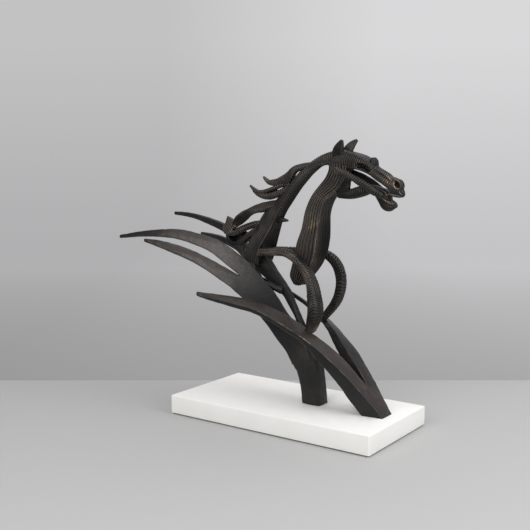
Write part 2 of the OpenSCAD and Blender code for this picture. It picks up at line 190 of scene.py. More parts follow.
LOCK_4_LEAF = [
    [-102, -9, 241.5, 13, 8], [-104.5, -8.5, 246, 21, 6], [-105, -7, 251, 21, 5], [-106.5, -6, 256, 15, 5],
    [-109, -5, 260, 7, 4], [-110, -4.5, 262, 3, 3],
]
LOCK_5 = [
    [-62, 0, 246, 9, 14], [-73, -3, 239.5, 7, 14], [-84, -5, 230.5, 6, 14], [-95, -5, 226.5, 5.5, 13],
    [-105, -4, 230, 5.5, 12], [-109, -4, 238, 4.5, 10],
]
LOCK_5_WEB = [
    [-80, 2, 234, 10, 4], [-88, 2, 236, 17, 4], [-97, 2, 237, 18, 4], [-106, 1, 238, 12, 4],
]
LOCK_5_FIN = [[-94, -1, 244, 8, 3.5], [-92, -2, 237, 9, 3.5], [-92, -2, 230, 8, 3.5]]
NEAR_EAR = [
    [59, -4, 334, 12, 6], [61.5, -6.5, 343, 15, 7], [63.5, -8, 350.5, 13.5, 7], [66.5, -8.5, 357, 8.5, 5],
    [68.7, -8.5, 362, 2.5, 3],
]
FAR_EAR = [
    [62, 4, 334, 12, 6], [65, 6.5, 344, 15, 7], [69, 7.5, 351.5, 11.5, 7], [74, 8, 357.5, 8, 5],
    [80, 8.5, 362, 2.5, 3],
]
NEAR_CHEEK = [
    [62, -9.5, 325.5, 8, 7], [73, -10.5, 322.5, 7, 7], [81, -11, 318.9, 6.5, 7], [89.8, -11, 314.4, 7, 7],
    [97.3, -11, 310.4, 8, 7], [104.5, -10, 306.2, 8, 6.5], [112.5, -9, 300.8, 8, 6.5], [122, -7, 296, 7, 6],
]
FAR_CHEEK = [
    [54, 8.5, 325, 9, 8], [66, 10.5, 323.5, 8.5, 7], [74.2, 10.5, 321.5, 8, 7], [84.6, 10.5, 317.9, 8, 7],
    [95, 10, 313.1, 8.5, 7], [106, 9, 306.6, 9, 6], [116.5, 8, 299, 8.5, 6], [122, 7, 294.5, 7, 6],
]
NEAR_JOWL = [
    [54, -6.5, 309, 17, 5], [60, -7.5, 309, 20, 5.5], [68, -8, 309, 21, 5.5], [75, -8.5, 308.5, 18, 5.5],
    [79.5, -8.5, 308, 13, 5],
]
FAR_JOWL = [[48, 7, 312, 12, 5], [56, 8, 311, 18, 6], [63, 8, 310, 18, 6], [69, 7.5, 308.5, 14, 5]]
BROW = [
    [105, 4, 328, 11, 8], [107.5, 3.5, 333, 9.5, 7], [108, 3, 336.5, 8, 6], [108, 2.8, 338.4, 7, 5.6],
    [108, 2.8, 339.4, 4.5, 4],
]
NECK_BARB = [[-30, 0, 261, 8, 7], [-23, 0, 261, 5, 5], [-18, 0, 260.5, 3, 3], [-15.5, 0, 260.5, 1.8, 1.8]]
HAUNCH_BRIDGE = [[-38, -11, 176.5, 8, 6], [-30, -8, 172.5, 8, 6], [-22, -5.5, 169, 9, 6]]
# A body in the middle plane is a row of [back x, z, half width, front x, z, half width].
NECK_CREST = [
    [56, 350, 6, 52, 332, 9],
    [36, 344, 4, 34, 331, 10],
    [18, 334.5, 3, 20, 322.5, 11.5],
    [4, 324, 3, 9, 313, 13],
    [-9, 311.5, 3, -3, 300, 13.5],
    [-21, 299, 3, -13, 286, 12.5],
    [-34, 286, 3, -22, 273, 11.5],
    [-47, 275, 4, -29, 260, 11.5],
    [-57, 262, 5, -34, 249, 14],
    [-64, 247, 7, -40, 237, 18],
    [-72, 232, 9, -46, 225, 21],
    [-79, 218, 11, -50, 212, 21],
    [-80, 207, 12, -52, 202, 18],
]
CHEST = [
    [46, 338, 8, 75, 331, 11],
    [50, 328, 10, 74, 317, 11.5],
    [45, 317.5, 9, 65, 303, 11],
    [35.5, 307, 9, 54, 295, 12],
    [25.5, 294, 10, 46.5, 288, 14],
    [16, 275, 11, 41.5, 274, 14],
    [12, 254, 12, 39.5, 254, 16],
    [6, 236, 13, 38, 238, 17],
    [2, 218, 13, 35, 222, 16.5],
    [-2, 202, 13, 29, 206, 14],
    [-5, 190, 12, 18, 190, 11],
    [-2, 180, 9, 7, 178, 7],
]
SKULL = [
    [52, 349.5, 6, 52, 329, 8],
    [66, 350, 9, 66, 330, 10],
    [80, 347.5, 11, 81, 328, 11],
    [94, 343.5, 12, 94, 325.3, 12],
    [105, 337, 11, 106, 320.5, 11],
    [113, 330, 8, 114, 314.5, 9],
    [123, 322.5, 6.5, 122, 309.5, 8],
    [131, 318.5, 6, 129, 304.5, 7.5],
    [138.5, 316.5, 5.5, 134, 299, 7],
    [144.5, 312.5, 5, 139.5, 296, 6.5],
    [147.5, 303, 4.5, 145.5, 295.5, 5],
]
LOWER_JAW = [
    [63, 305, 8, 61, 291.5, 6],
    [78, 303, 10, 78, 291, 8],
    [91, 306.5, 9, 93, 294, 7],
    [104, 308.5, 7.5, 107, 299, 6.5],
    [117, 306, 7, 111, 296.5, 6],
    [126, 302, 7, 116, 289.5, 6],
    [130.5, 296, 7, 121, 281.5, 6],
    [131.5, 290.5, 6.5, 126, 278, 6],
    [134, 288, 5.5, 131, 277.5, 5.5],
    [138, 286, 4, 137, 281, 4],
]
# Thin ridges on the head: down the nose, round a nostril, along the lips, at the mouth's corner.
NOSE_RIDGE = [
    [112, 7, 328, 2.4, 2.4], [118, 6.5, 325, 2.4, 2.4], [124, 6, 322, 2.4, 2.4], [130, 5.8, 318, 2.4, 2.4],
    [135, 5.5, 313.5, 2.4, 2.4],
]
NOSTRIL = (141.2, 5.2, 309.3)
NOSTRIL_SIZE = (6.0, 4.2)
NOSTRIL_LEAN = (0.55, 0.83)
NOSTRIL_FLARE = 0.12
NOSTRIL_RIM = 1.9
# A hollow is [middle x and z, half length and half height, depth, dip of its long way in degrees].
EYE_HOLLOW = ((99.5, 328.5), (11, 5.5), 6.5, 18)
NOSTRIL_HOLLOW = ((141.6, 309), (4.2, 2.6), 3.5, 60)
UPPER_LIP = [
    [132, 6.5, 298, 3, 3], [138, 6, 296.8, 3.4, 3.2], [144, 4.5, 296, 3.8, 3.4], [147, 0, 296.5, 3.8, 3.8],
]
LOWER_LIP = [
    [119, 6.3, 297, 2.8, 2.8], [124.5, 6.6, 292, 3, 3], [130, 6.4, 289, 3.4, 3.2], [135, 4.6, 286.5, 3.6, 3.4],
    [137.5, 0, 285.5, 3.6, 3.6],
]
MOUTH_FOLD = [[121, 6.8, 303, 2, 2], [127, 7.4, 300, 2, 2], [129.5, 7.2, 296, 1.8, 1.8]]


# ---------------------------------------------------------------- small maths
def unit(vectors):
    return vectors / np.maximum(np.linalg.norm(vectors, axis=-1, keepdims=True), 1e-9)


def smoothstep(low, high, value):
    f = np.clip((value - low) / (high - low), 0, 1)
    return f * f * (3 - 2 * f)


WAVES = 20


def ripple(seed, size):
    """Smooth solid noise between about -1 and 1, whose bumps are about size millimetres apart."""
    draw = np.random.default_rng(seed)
    turns = unit(draw.normal(size=(WAVES, 3))) * 2 * math.pi / (size * draw.uniform(0.7, 1.7, (WAVES, 1)))
    phases = draw.uniform(0, 2 * math.pi, WAVES)
    return lambda points: np.sin(points @ turns.T + phases).sum(-1) / math.sqrt(WAVES)


def spline(rows, t):
    """The smooth curve through rows, at the places t, where whole numbers are the rows."""
    padded = np.vstack([2 * rows[0] - rows[1], rows, 2 * rows[-1] - rows[-2]])
    i = np.clip(t.astype(int), 0, len(rows) - 2)
    f = (t - i)[:, None]
    a, b, c, d = padded[i], padded[i + 1], padded[i + 2], padded[i + 3]
    return b + 0.5 * f * ((c - a) + f * ((2 * a - 5 * b + 4 * c - d) + f * (3 * b - a - 3 * c + d)))


STEPS_PER_STATION = 60


def evenly(rows, spacing, middle):
    """The curve through rows cut at even distances along its middle, and those distances."""
    rows = np.array(rows, float)
    dense = np.linspace(0, len(rows) - 1, STEPS_PER_STATION * (len(rows) - 1) + 1)
    steps = np.linalg.norm(np.diff(middle(spline(rows, dense)), axis=0), axis=1)
    run = np.concatenate([[0], np.cumsum(steps)])
    places = np.linspace(0, run[-1], max(5, round(run[-1] / spacing)) + 1)
    return spline(rows, np.interp(places, run, dense)), places


# ---------------------------------------------------------------- lofts
# The part of a side's length that one corner's rounding may take.
ROUNDING_SHARE = 0.47
# How far a rounded corner reaches on each side of its whole number in side_of.
CORNER_REACH = 0.04
DOME_RINGS = 6
DOME_REACH = 0.9
# The shortest gap, in millimetres, that a curvature is worked out over.
LEAST_GAP = 0.15


class Loft:
    """Rings of points in millimetres. side_of is 0 to 4 around a ring: a whole number is a corner."""

    def __init__(self, corners, run, radii, crowns, side_points=10, corner_points=5):
        self.run = run
        self.ahead = unit(np.gradient(corners.mean(axis=1), axis=0))
        after, before = np.roll(corners, -1, axis=1), np.roll(corners, 1, axis=1)
        radii = np.broadcast_to(radii, corners.shape[:2])[..., None]
        start, end = (
            corners + unit(other - corners) * np.minimum(
                radii, ROUNDING_SHARE * np.linalg.norm(other - corners, axis=-1, keepdims=True))
            for other in (before, after))
        middle = corners.mean(axis=1)
        rings, places = [], []
        for k in range(4):
            for f in np.linspace(0, 1, corner_points):
                rings.append((1 - f) ** 2 * start[:, k] + 2 * f * (1 - f) * corners[:, k] + f * f * end[:, k])
                places.append(k - CORNER_REACH + 2 * CORNER_REACH * f)
            finish = start[:, (k + 1) % 4]
            out = unit(np.cross(finish - end[:, k], self.ahead))
            out = out * np.sign(np.sum(((end[:, k] + finish) / 2 - middle) * out, axis=-1, keepdims=True))
            for f in np.linspace(0, 1, side_points + 2)[1:-1]:
                crown = crowns[k] * 4 * f * (1 - f)
                rings.append((1 - f) * end[:, k] + f * finish + crown * out)
                places.append(k + CORNER_REACH + (1 - 2 * CORNER_REACH) * f)
        self.rings = np.stack(rings, axis=1)
        self.side_of = np.array(places)

    @property
    def points(self):
        return self.rings

    def distance(self):
        """How far along the piece each point lies."""
        return self.run[:, None]

    def across(self):
        """0 to 1 across each side."""
        return np.clip(self.side_of % 1, 0, 1)

    def normals(self):
        around = np.roll(self.rings, -1, axis=1) - np.roll(self.rings, 1, axis=1)
        along = np.gradient(self.rings, axis=0)
        out = unit(np.cross(around, along))
        outward = ((self.rings - self.rings.mean(axis=1, keepdims=True)) * out).sum()
        return out * np.sign(outward)

    def push(self, heights):
        """Moves the surface out by heights, in millimetres."""
        self.rings = self.rings + self.normals() * np.broadcast_to(heights, self.rings.shape[:2])[..., None]

    def dome(self, first=False, last=False):
        """Closes an end with a rounded tip."""
        for wanted, end in ((first, 0), (last, -1)):
            if not wanted:
                continue
            ring = self.rings[end]
            centre = ring.mean(axis=0)
            spread = np.linalg.norm(ring - centre, axis=1)
            reach = DOME_REACH * spread.min()
            ahead = self.ahead[end] * (1 if end else -1)
            turns = np.linspace(0, math.pi / 2, DOME_RINGS + 1)[1:-1]
            extra = np.array([centre + (ring - centre) * math.cos(a) + ahead * reach * math.sin(a)
                              for a in turns])
            more = reach * np.sin(turns)
            if end:
                self.rings = np.concatenate([self.rings, extra])
                self.run = np.concatenate([self.run, self.run[-1] + more])
                self.ahead = np.concatenate([self.ahead, np.repeat(self.ahead[-1:], len(more), axis=0)])
            else:
                self.rings = np.concatenate([extra[::-1], self.rings])
                self.run = np.concatenate([self.run[0] - more[::-1], self.run])
                self.ahead = np.concatenate([np.repeat(self.ahead[:1], len(more), axis=0), self.ahead])

    def curvature(self):
        """How strongly the surface bulges at each point, per millimetre; less than 0 in a groove."""
        out = self.normals()
        total = np.zeros(self.rings.shape[:2])
        padded = np.concatenate([self.rings[:1], self.rings, self.rings[-1:]])
        for a, b in ((np.roll(self.rings, 1, axis=1), np.roll(self.rings, -1, axis=1)),
                     (padded[:-2], padded[2:])):
            gap = np.maximum(np.linalg.norm(a - b, axis=-1) / 2, LEAST_GAP)
            total += ((self.rings - (a + b) / 2) * out).sum(-1) / gap ** 2
        return total

    def mesh(self, name):
        """The closed mesh, in metres."""
        rings, count = self.rings.shape[:2]
        centres = self.rings[[0, -1]].mean(axis=1)
        points = np.concatenate([self.rings.reshape(-1, 3), centres])
        i = np.arange(rings - 1)[:, None] * count
        k = np.arange(count)[None, :]
        m = (k + 1) % count
        walls = np.stack([i + k, i + m, i + count + m, i + count + k], axis=-1).reshape(-1, 4).tolist()
        top = (rings - 1) * count
        heads = [[(j + 1) % count, j, rings * count] for j in range(count)]
        tails = [[top + j, top + (j + 1) % count, rings * count + 1] for j in range(count)]
        data = bpy.data.meshes.new(name)
        data.from_pydata((points * MM).tolist(), [], walls + heads + tails)
        work = bmesh.new()
        work.from_mesh(data)
        bmesh.ops.recalc_face_normals(work, faces=work.faces)
        work.to_mesh(data)
        work.free()
        return data


# The voxel size, in millimetres, and the number of smoothing rounds of a fused skin.
FUSED_VOXEL = 0.42
FUSED_ROUNDS = 3
# How many points are measured against a guide at a time, which keeps memory low.
BLOCK = 4000


class Fused:
    """One closed skin over several lofts that run into each other, with its points in millimetres."""

    def __init__(self, lofts):
        self.guide = lofts[0]
        work = bmesh.new()
        for loft in lofts:
            work.from_mesh(loft.mesh("part"))
        rough = bpy.data.meshes.new("rough")
        work.to_mesh(rough)
        work.free()
        carrier = bpy.data.objects.new("carrier", rough)
        bpy.context.scene.collection.objects.link(carrier)
        remesh = carrier.modifiers.new("remesh", "REMESH")
        remesh.mode = "VOXEL"
        remesh.voxel_size = FUSED_VOXEL * MM
        relaxing = carrier.modifiers.new("relax", "SMOOTH")
        relaxing.iterations = FUSED_ROUNDS
        graph = bpy.context.evaluated_depsgraph_get()
        self.data = bpy.data.meshes.new_from_object(carrier.evaluated_get(graph))
        bpy.data.objects.remove(carrier)
        flat = np.empty(len(self.data.vertices) * 3)
        self.data.vertices.foreach_get("co", flat)
        self.points = flat.reshape(-1, 3) / MM
        ends = np.empty(len(self.data.edges) * 2, int)
        self.data.edges.foreach_get("vertices", ends)
        self.ends = ends.reshape(-1, 2)

    def distance(self):
        """How far along the first loft each point lies."""
        centres = self.guide.rings.mean(axis=1)
        nearest = np.concatenate([
            np.argmin(((block[:, None] - centres[None]) ** 2).sum(-1), axis=1)
            for block in np.array_split(self.points, 1 + len(self.points) // BLOCK)])
        beyond = ((self.points - centres[nearest]) * self.guide.ahead[nearest]).sum(-1)
        return self.guide.run[nearest] + beyond

    def normals(self):
        flat = np.empty(len(self.data.vertices) * 3)
        self.data.vertices.foreach_get("normal", flat)
        return flat.reshape(-1, 3)

    def push(self, heights):
        self.points = self.points + self.normals() * heights[:, None]
        self.data.vertices.foreach_set("co", (self.points * MM).ravel())
        self.data.update()

    def spread(self, values):
        """Each point's values averaged over the points joined to it."""
        total, count = np.zeros(values.shape), np.zeros(len(values))
        for a, b in (self.ends.T, self.ends.T[::-1]):
            np.add.at(total, a, values[b])
            np.add.at(count, a, 1)
        return total / (count[:, None] if values.ndim > 1 else count)

    def curvature(self):
        gap = np.linalg.norm(self.points[self.ends[:, 0]] - self.points[self.ends[:, 1]], axis=1).mean()
        bend = 4 * ((self.points - self.spread(self.points)) * self.normals()).sum(-1) / gap ** 2
        return self.spread(self.spread(bend))

    def mesh(self, name):
        self.data.name = name
        return self.data


# Spacings and crowns are in millimetres; a crown is how far a side bulges, one for each side.
BLADE_SPACING = 1.2
BLADE_CROWNS = (0.5, 0.2, 0.3, 0.2)
STRAND_SPACING = 0.42
FUSED_SPACING = 1.0
STRAND_CROWNS = (0.6, 0.3, 0.3, 0.3)
STRAND_POINTS = 16


def blade_loft(stations, way, edge, crowns):
    """A blade between two edges, with its thickness laid to one side of the face between them."""
    flat = [[*a, *b, thickness] for a, b, thickness in stations]
    rows, run = evenly(flat, BLADE_SPACING, lambda r: (r[:, :3] + r[:, 3:6]) / 2)
    a, b = rows[:, :3], rows[:, 3:6]
    ahead = unit(np.gradient((a + b) / 2, axis=0))
    inward = way * rows[:, 6:7] * unit(np.cross(ahead, b - a))
    corners = np.stack([a, b, b + inward, a + inward], axis=1)
    corners[..., 1] += MID_Y
    return Loft(corners, run, edge, crowns)


def band_corners(path, tall, thick):
    """The corners of a band round its path, from half its height and half its thickness."""
    near, far = path - thick, path + thick
    corners = np.stack([near + tall, far + tall, far - tall, near - tall], axis=1)
    corners[..., 1] += MID_Y
    return corners


def strand_loft(stations, side, spacing, roundness, crowns=STRAND_CROWNS):
    """A band along its stations. Its sides are the outer face, the far side, the inner face, the near side.

    A station may end with a turn about the sweep, in degrees.
    """
    rows, run = evenly(stations, spacing, lambda r: r[:, :3])
    path = rows[:, :3] * [1, side, 1]
    along = unit(np.gradient(path, axis=0))
    across = unit(np.array([0, 1, 0]) - along[:, 1:2] * along)
    up = np.cross(along, across)
    if rows.shape[1] > 5:
        turn = np.radians(rows[:, 5:6])
        across, up = across * np.cos(turn) + up * np.sin(turn), up * np.cos(turn) - across * np.sin(turn)
    corners = band_corners(path, up * rows[:, 3:4] / 2, across * rows[:, 4:5] / 2)
    radii = np.minimum(rows[:, 3], rows[:, 4])[:, None] * np.array(roundness)
    return Loft(corners, run, radii, crowns, side_points=STRAND_POINTS)


def body_loft(stations, crowns, radii, spacing, side_points=40):
    """A body in the middle plane. Its sides are the near side, the front, the far side, the back."""
    rows, run = evenly(stations, spacing, lambda r: (r[:, [0, 1]] + r[:, [3, 4]]) / 2)
    zero = rows[:, 0] * 0
    back = np.stack([rows[:, 0], zero, rows[:, 1]], axis=1)
    front = np.stack([rows[:, 3], zero, rows[:, 4]], axis=1)
    half_back, half_front = rows[:, 2:3] * [[0, 1, 0]], rows[:, 5:6] * [[0, 1, 0]]
    corners = np.stack([back - half_back, front - half_front, front + half_front, back + half_back], axis=1)
    corners[..., 1] += MID_Y
    return Loft(corners, run, np.array(radii), crowns, side_points=side_points)


# ---------------------------------------------------------------- relief
wander = ripple(3, 34)
patchy = ripple(5, 15)
hammered = ripple(8, 9)
RIDGE_MEAN = 0.76
# How far, in ribs, cross ribs and long ribs stray from their even places.
CROSS_STRAY = 0.28
LONG_STRAY = 0.22


def uneven(points):
    """A factor of about 0.55 to 1.15 that makes a relief deeper in some places than in others."""
    return 0.85 + 0.3 * patchy(points)


def ridges(phase):
    """Rounded ridges with sharp grooves between them, about 0 on average."""
    return np.sqrt(np.abs(np.sin(math.pi * phase))) - RIDGE_MEAN


def cross_ribs(surface, pitch, height, slant=0.0, stray=CROSS_STRAY, swirl=0.0):
    """Ribs that run round a piece, like wound wax thread; swirl makes them curl."""
    phase = surface.distance() / pitch + stray * wander(surface.points) + swirl * patchy(surface.points)
    if slant:
        phase = phase + slant * surface.across()[None, :]
    return height * ridges(phase) * uneven(surface.points)


def long_ribs(loft, counts, height):
    """Ribs that run along a piece; counts is how many lie on each of its four sides."""
    side = np.floor(loft.side_of % 4).astype(int)
    phase = np.array(counts)[side] * loft.across()
    return height * ridges(phase[None, :] + LONG_STRAY * wander(loft.rings)) * uneven(loft.rings)


def near_spot(points, spot):
    """1 at a spot [x, side, z, radius], fading out round it."""
    x, side, z, radius = spot
    gap = points - np.array([x, side + MID_Y, z])
    return np.exp(-(gap ** 2).sum(-1) / radius ** 2)


# ---------------------------------------------------------------- materials
def nodes_of(name):
    material = bpy.data.materials.new(name)
    material.use_nodes = True
    tree = material.node_tree
    return material, tree, tree.nodes["Principled BSDF"]


def noise_node(tree, scale, detail=4.0, roughness=0.6, stretch=None):
    """Solid noise in the object's own frame; scale is in bumps per metre."""
    place = tree.nodes.new("ShaderNodeTexCoord")
    noise = tree.nodes.new("ShaderNodeTexNoise")
    noise.inputs["Scale"].default_value = scale
    noise.inputs["Detail"].default_value = detail
    noise.inputs["Roughness"].default_value = roughness
    source = place.outputs["Object"]
    if stretch:
        mapping = tree.nodes.new("ShaderNodeMapping")
        mapping.inputs["Scale"].default_value = stretch
        tree.links.new(source, mapping.inputs["Vector"])
        source = mapping.outputs["Vector"]
    tree.links.new(source, noise.inputs["Vector"])
    return noise.outputs["Fac"]


def remap(tree, source, low, high, to_low=0.0, to_high=1.0):
    node = tree.nodes.new("ShaderNodeMapRange")
    node.inputs["From Min"].default_value = low
    node.inputs["From Max"].default_value = high
    node.inputs["To Min"].default_value = to_low
    node.inputs["To Max"].default_value = to_high
    tree.links.new(source, node.inputs["Value"])
    return node.outputs["Result"]


def combine(tree, operation, a, b):
    node = tree.nodes.new("ShaderNodeMath")
    node.operation = operation
    for socket, value in zip(node.inputs, (a, b)):
        if isinstance(value, (int, float)):
            socket.default_value = value
        else:
            tree.links.new(value, socket)
    return node.outputs["Value"]


def mix_colour(tree, factor, a, b):
    node = tree.nodes.new("ShaderNodeMix")
    node.data_type = "RGBA"
    tree.links.new(factor, node.inputs["Factor"])
    for key, value in (("A", a), ("B", b)):
        socket = next(s for s in node.inputs if s.name == key and s.type == "RGBA")
        if isinstance(value, tuple):
            socket.default_value = (*value, 1.0)
        else:
            tree.links.new(value, socket)
    return next(s for s in node.outputs if s.type == "RGBA")


def attribute(tree, name):
    node = tree.nodes.new("ShaderNodeAttribute")
    node.attribute_name = name
    return node.outputs["Fac"]


def bump(tree, shader, height, strength, distance):
    node = tree.nodes.new("ShaderNodeBump")
    node.inputs["Strength"].default_value = strength
    node.inputs["Distance"].default_value = distance
    tree.links.new(height, node.inputs["Height"])
    tree.links.new(node.outputs["Normal"], shader.inputs["Normal"])


def bronze(name, dark, crest, rough, specular):
    """Waxed brown-black patina, golden where hands have rubbed it. Raised lines are paler, partly worn and
    partly a painted highlight; grooves are darker, partly patina and partly painted shade, and given spots
    darker as painted shade; browned patches are partly the bronze's own tone and partly a painted highlight.
    """
    material, tree, shader = nodes_of(name)
    warmed = remap(tree, noise_node(tree, 30), 0.45, 0.8, 0.0, 0.35)
    # The browning added here is partly the bronze's own tone and partly a painted highlight.
    clouds = combine(tree, "ADD", warmed, attribute(tree, "warmth"))
    mottle = noise_node(tree, 420, detail=5)
    pits = noise_node(tree, 1900, detail=3)
    patina = mix_colour(tree, clouds, dark, PATINA_WARM_AND_SHEEN)
    fleck = remap(tree, mottle, 0.45, 0.75, 0.0, 0.5)
    patina = mix_colour(tree, fleck, patina, tuple(0.55 * c for c in dark))
    lit = remap(tree, mottle, 0.3, 0.65, 0.5, 1.0)
    lifted = combine(tree, "MULTIPLY", attribute(tree, "crest"), lit)
    # Raised lines are paler: partly worn patina, partly a painted highlight.
    patina = mix_colour(tree, lifted, patina, crest)
    # Grooves and given spots go near black: partly patina left in hollows, partly painted shade.
    patina = mix_colour(tree, attribute(tree, "grime_and_shade"), patina, tuple(0.12 * c for c in dark))
    broken = remap(tree, noise_node(tree, 240, detail=6), 0.4, 0.6, 0.12, 1.0)
    worn = combine(tree, "MULTIPLY", attribute(tree, "rub"), broken)
    colour = mix_colour(tree, worn, patina, GOLD)
    tree.links.new(colour, shader.inputs["Base Color"])
    metal = combine(tree, "ADD", combine(tree, "MULTIPLY", worn, 0.7), 0.25)
    tree.links.new(metal, shader.inputs["Metallic"])
    shader.inputs["Specular IOR Level"].default_value = specular
    gloss = remap(tree, mottle, 0.3, 0.7, rough - 0.06, rough + 0.08)
    gloss = combine(tree, "SUBTRACT", gloss, combine(tree, "MULTIPLY", worn, 0.08))
    gloss = combine(tree, "ADD", gloss, combine(tree, "MULTIPLY", attribute(tree, "grime_and_shade"), 0.35))
    tree.links.new(gloss, shader.inputs["Roughness"])
    dimples = combine(tree, "MULTIPLY", mottle, 0.7)
    height = combine(tree, "ADD", dimples, combine(tree, "MULTIPLY", pits, 0.3))
    bump(tree, shader, height, 0.35, 0.00035)
    return material


def white_lacquer():
    """Matt white stone lacquer with a faint orange-peel and a few soft stains."""
    material, tree, shader = nodes_of("plinth_white")
    clouds = remap(tree, noise_node(tree, 22, detail=6), 0.35, 0.7)
    colour = mix_colour(tree, clouds, (0.89, 0.875, 0.84), (0.92, 0.91, 0.885))
    stains = remap(tree, noise_node(tree, 300), 0.6, 0.8, 0.0, 0.25)
    colour = mix_colour(tree, stains, colour, (0.80, 0.785, 0.75))
    tree.links.new(colour, shader.inputs["Base Color"])
    gloss = remap(tree, noise_node(tree, 130), 0.3, 0.7, 0.48, 0.62)
    tree.links.new(gloss, shader.inputs["Roughness"])
    bump(tree, shader, noise_node(tree, 1500, detail=3), 0.2, 0.00015)
    return material


def felt_cloth():
    material, tree, shader = nodes_of("felt")
    fibres = noise_node(tree, 2600, detail=6, roughness=0.75)
    clouds = noise_node(tree, 120)
    colour = mix_colour(tree, clouds, (0.035, 0.037, 0.036), (0.075, 0.078, 0.075))
    colour = mix_colour(tree, remap(tree, fibres, 0.5, 0.75), colour, (0.12, 0.12, 0.115))
    tree.links.new(colour, shader.inputs["Base Color"])
    shader.inputs["Roughness"].default_value = 0.95
    shader.inputs["Sheen Weight"].default_value = 0.4
    shader.inputs["Sheen Roughness"].default_value = 0.6
    bump(tree, shader, fibres, 0.8, 0.0004)
    return material


def zinc_steel():
    material, tree, shader = nodes_of("fastener_steel")
    lines = noise_node(tree, 900, detail=4, stretch=(1, 1, 9))
    colour = mix_colour(tree, lines, (0.42, 0.42, 0.41), (0.58, 0.58, 0.57))
    tree.links.new(colour, shader.inputs["Base Color"])
    shader.inputs["Metallic"].default_value = 1.0
    tree.links.new(remap(tree, lines, 0.3, 0.7, 0.28, 0.42), shader.inputs["Roughness"])
    bump(tree, shader, lines, 0.25, 0.0001)
    return material


SATIN_DARK = (0.013, 0.0125, 0.0125)
SATIN_CREST_AND_SHEEN = (0.06, 0.052, 0.046)
RIBBED_DARK = (0.009, 0.0086, 0.0083)
RIBBED_CREST_AND_SHEEN = (0.125, 0.108, 0.093)
PATINA_WARM_AND_SHEEN = (0.064, 0.054, 0.048)
GOLD = (0.52, 0.36, 0.22)

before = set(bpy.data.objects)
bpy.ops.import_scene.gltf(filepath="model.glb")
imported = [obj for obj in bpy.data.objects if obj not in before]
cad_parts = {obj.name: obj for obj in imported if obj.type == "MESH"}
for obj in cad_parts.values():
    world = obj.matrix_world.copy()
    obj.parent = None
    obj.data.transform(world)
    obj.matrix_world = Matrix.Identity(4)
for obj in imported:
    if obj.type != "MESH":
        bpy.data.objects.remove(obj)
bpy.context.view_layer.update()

MATERIALS = {
    "bronze_satin": bronze("bronze_satin", SATIN_DARK, SATIN_CREST_AND_SHEEN, rough=0.38, specular=0.34),
    "bronze_ribbed": bronze("bronze_ribbed", RIBBED_DARK, RIBBED_CREST_AND_SHEEN, rough=0.42, specular=0.3),
}


# ---------------------------------------------------------------- pieces
BRONZE_SHARP = 45


def finished(data, name, node, material, sharp):
    """Turns a mesh into the piece that stands for a CAD node; edges of over sharp degrees stay crisp."""
    data.shade_smooth()
    data.set_sharp_from_angle(angle=math.radians(sharp))
    data.materials.clear()
    data.materials.append(material)
    piece = bpy.data.objects.new(name, data)
    bpy.context.scene.collection.objects.link(piece)
    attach(piece, BODY)
    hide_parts(node)


def spotted(points, spots):
    """The sum of soft spots, each [x, side, z, radius, strength]."""
    return sum((spot[4] * near_spot(points, spot[:4]) for spot in spots), np.zeros(points.shape[:-1]))


def put(surface, node, slot, rub=0.5, crest=0.7, spots=(), warm=(), soot=(), dusted=0.0):
    """Turns a bronze surface into its piece, with its wear, tone, painted highlight and painted shade stored on
    its points.

    The spots are rubbed golden. The warm spots are browned, partly as the bronze's own tone and partly as a
    painted highlight, and the darkened spots are painted shade. The last argument is how far faces that look
    up are lightened towards brown, a painted highlight of the light from above.
    """
    bend = surface.curvature()
    points = surface.points
    strength = rub + spotted(points, spots)
    edge = smoothstep(0.35, 1.3, bend)
    # Faces that look up: lightening them towards brown is a painted highlight of the light from above.
    upward = smoothstep(0.15, 0.45, surface.normals()[..., 2])
    wear = {
        "rub": np.clip(edge * strength * (0.6 + 0.7 * patchy(points)), 0, 1),
        # Paler raised lines, partly worn and partly a painted highlight.
        "crest": crest * smoothstep(0.05, 0.9, bend),
        # Darker grooves, partly patina in hollows and partly painted shade, plus the spots of painted shade.
        "grime_and_shade": np.clip(smoothstep(0.05, 0.9, -bend) + spotted(points, soot), 0, 1),
        # Browning: partly the bronze's own tone, partly a painted highlight, and a painted highlight on faces
        # that look up.
        "warmth": np.clip(spotted(points, warm) + dusted * upward, 0, 1),
    }
    data = surface.mesh(node + "_skin")
    for name, values in wear.items():
        stored = np.zeros(len(data.vertices), np.float32)
        stored[:values.size] = values.ravel()
        data.attributes.new(name, "FLOAT", "POINT").data.foreach_set("value", stored)
    finished(data, "bronze_" + node, node, MATERIALS[slot], BRONZE_SHARP)


def satin(loft, amount=0.12):
    """The slightly uneven surface of a hand-filed blade."""
    return amount * hammered(loft.rings)


def blade_piece(node, stations, way, tip=True, edge=0.8, crowns=BLADE_CROWNS, **wear):
    loft = blade_loft(stations, way, edge, crowns)
    loft.dome(last=tip)
    loft.push(satin(loft))
    put(loft, node, "bronze_satin", crest=0.4, **wear)


# Brown patches along the middle of the near blades, and a painted highlight where the near haunch leaves the
# rear stem.
BLADE_GLOW = [(-140, -38, 236, 55, 1.0), (-125, -45, 208, 50, 0.55)]
STEM_PAINTED_SHEEN = (18, -11, 92, 13, 0.35)
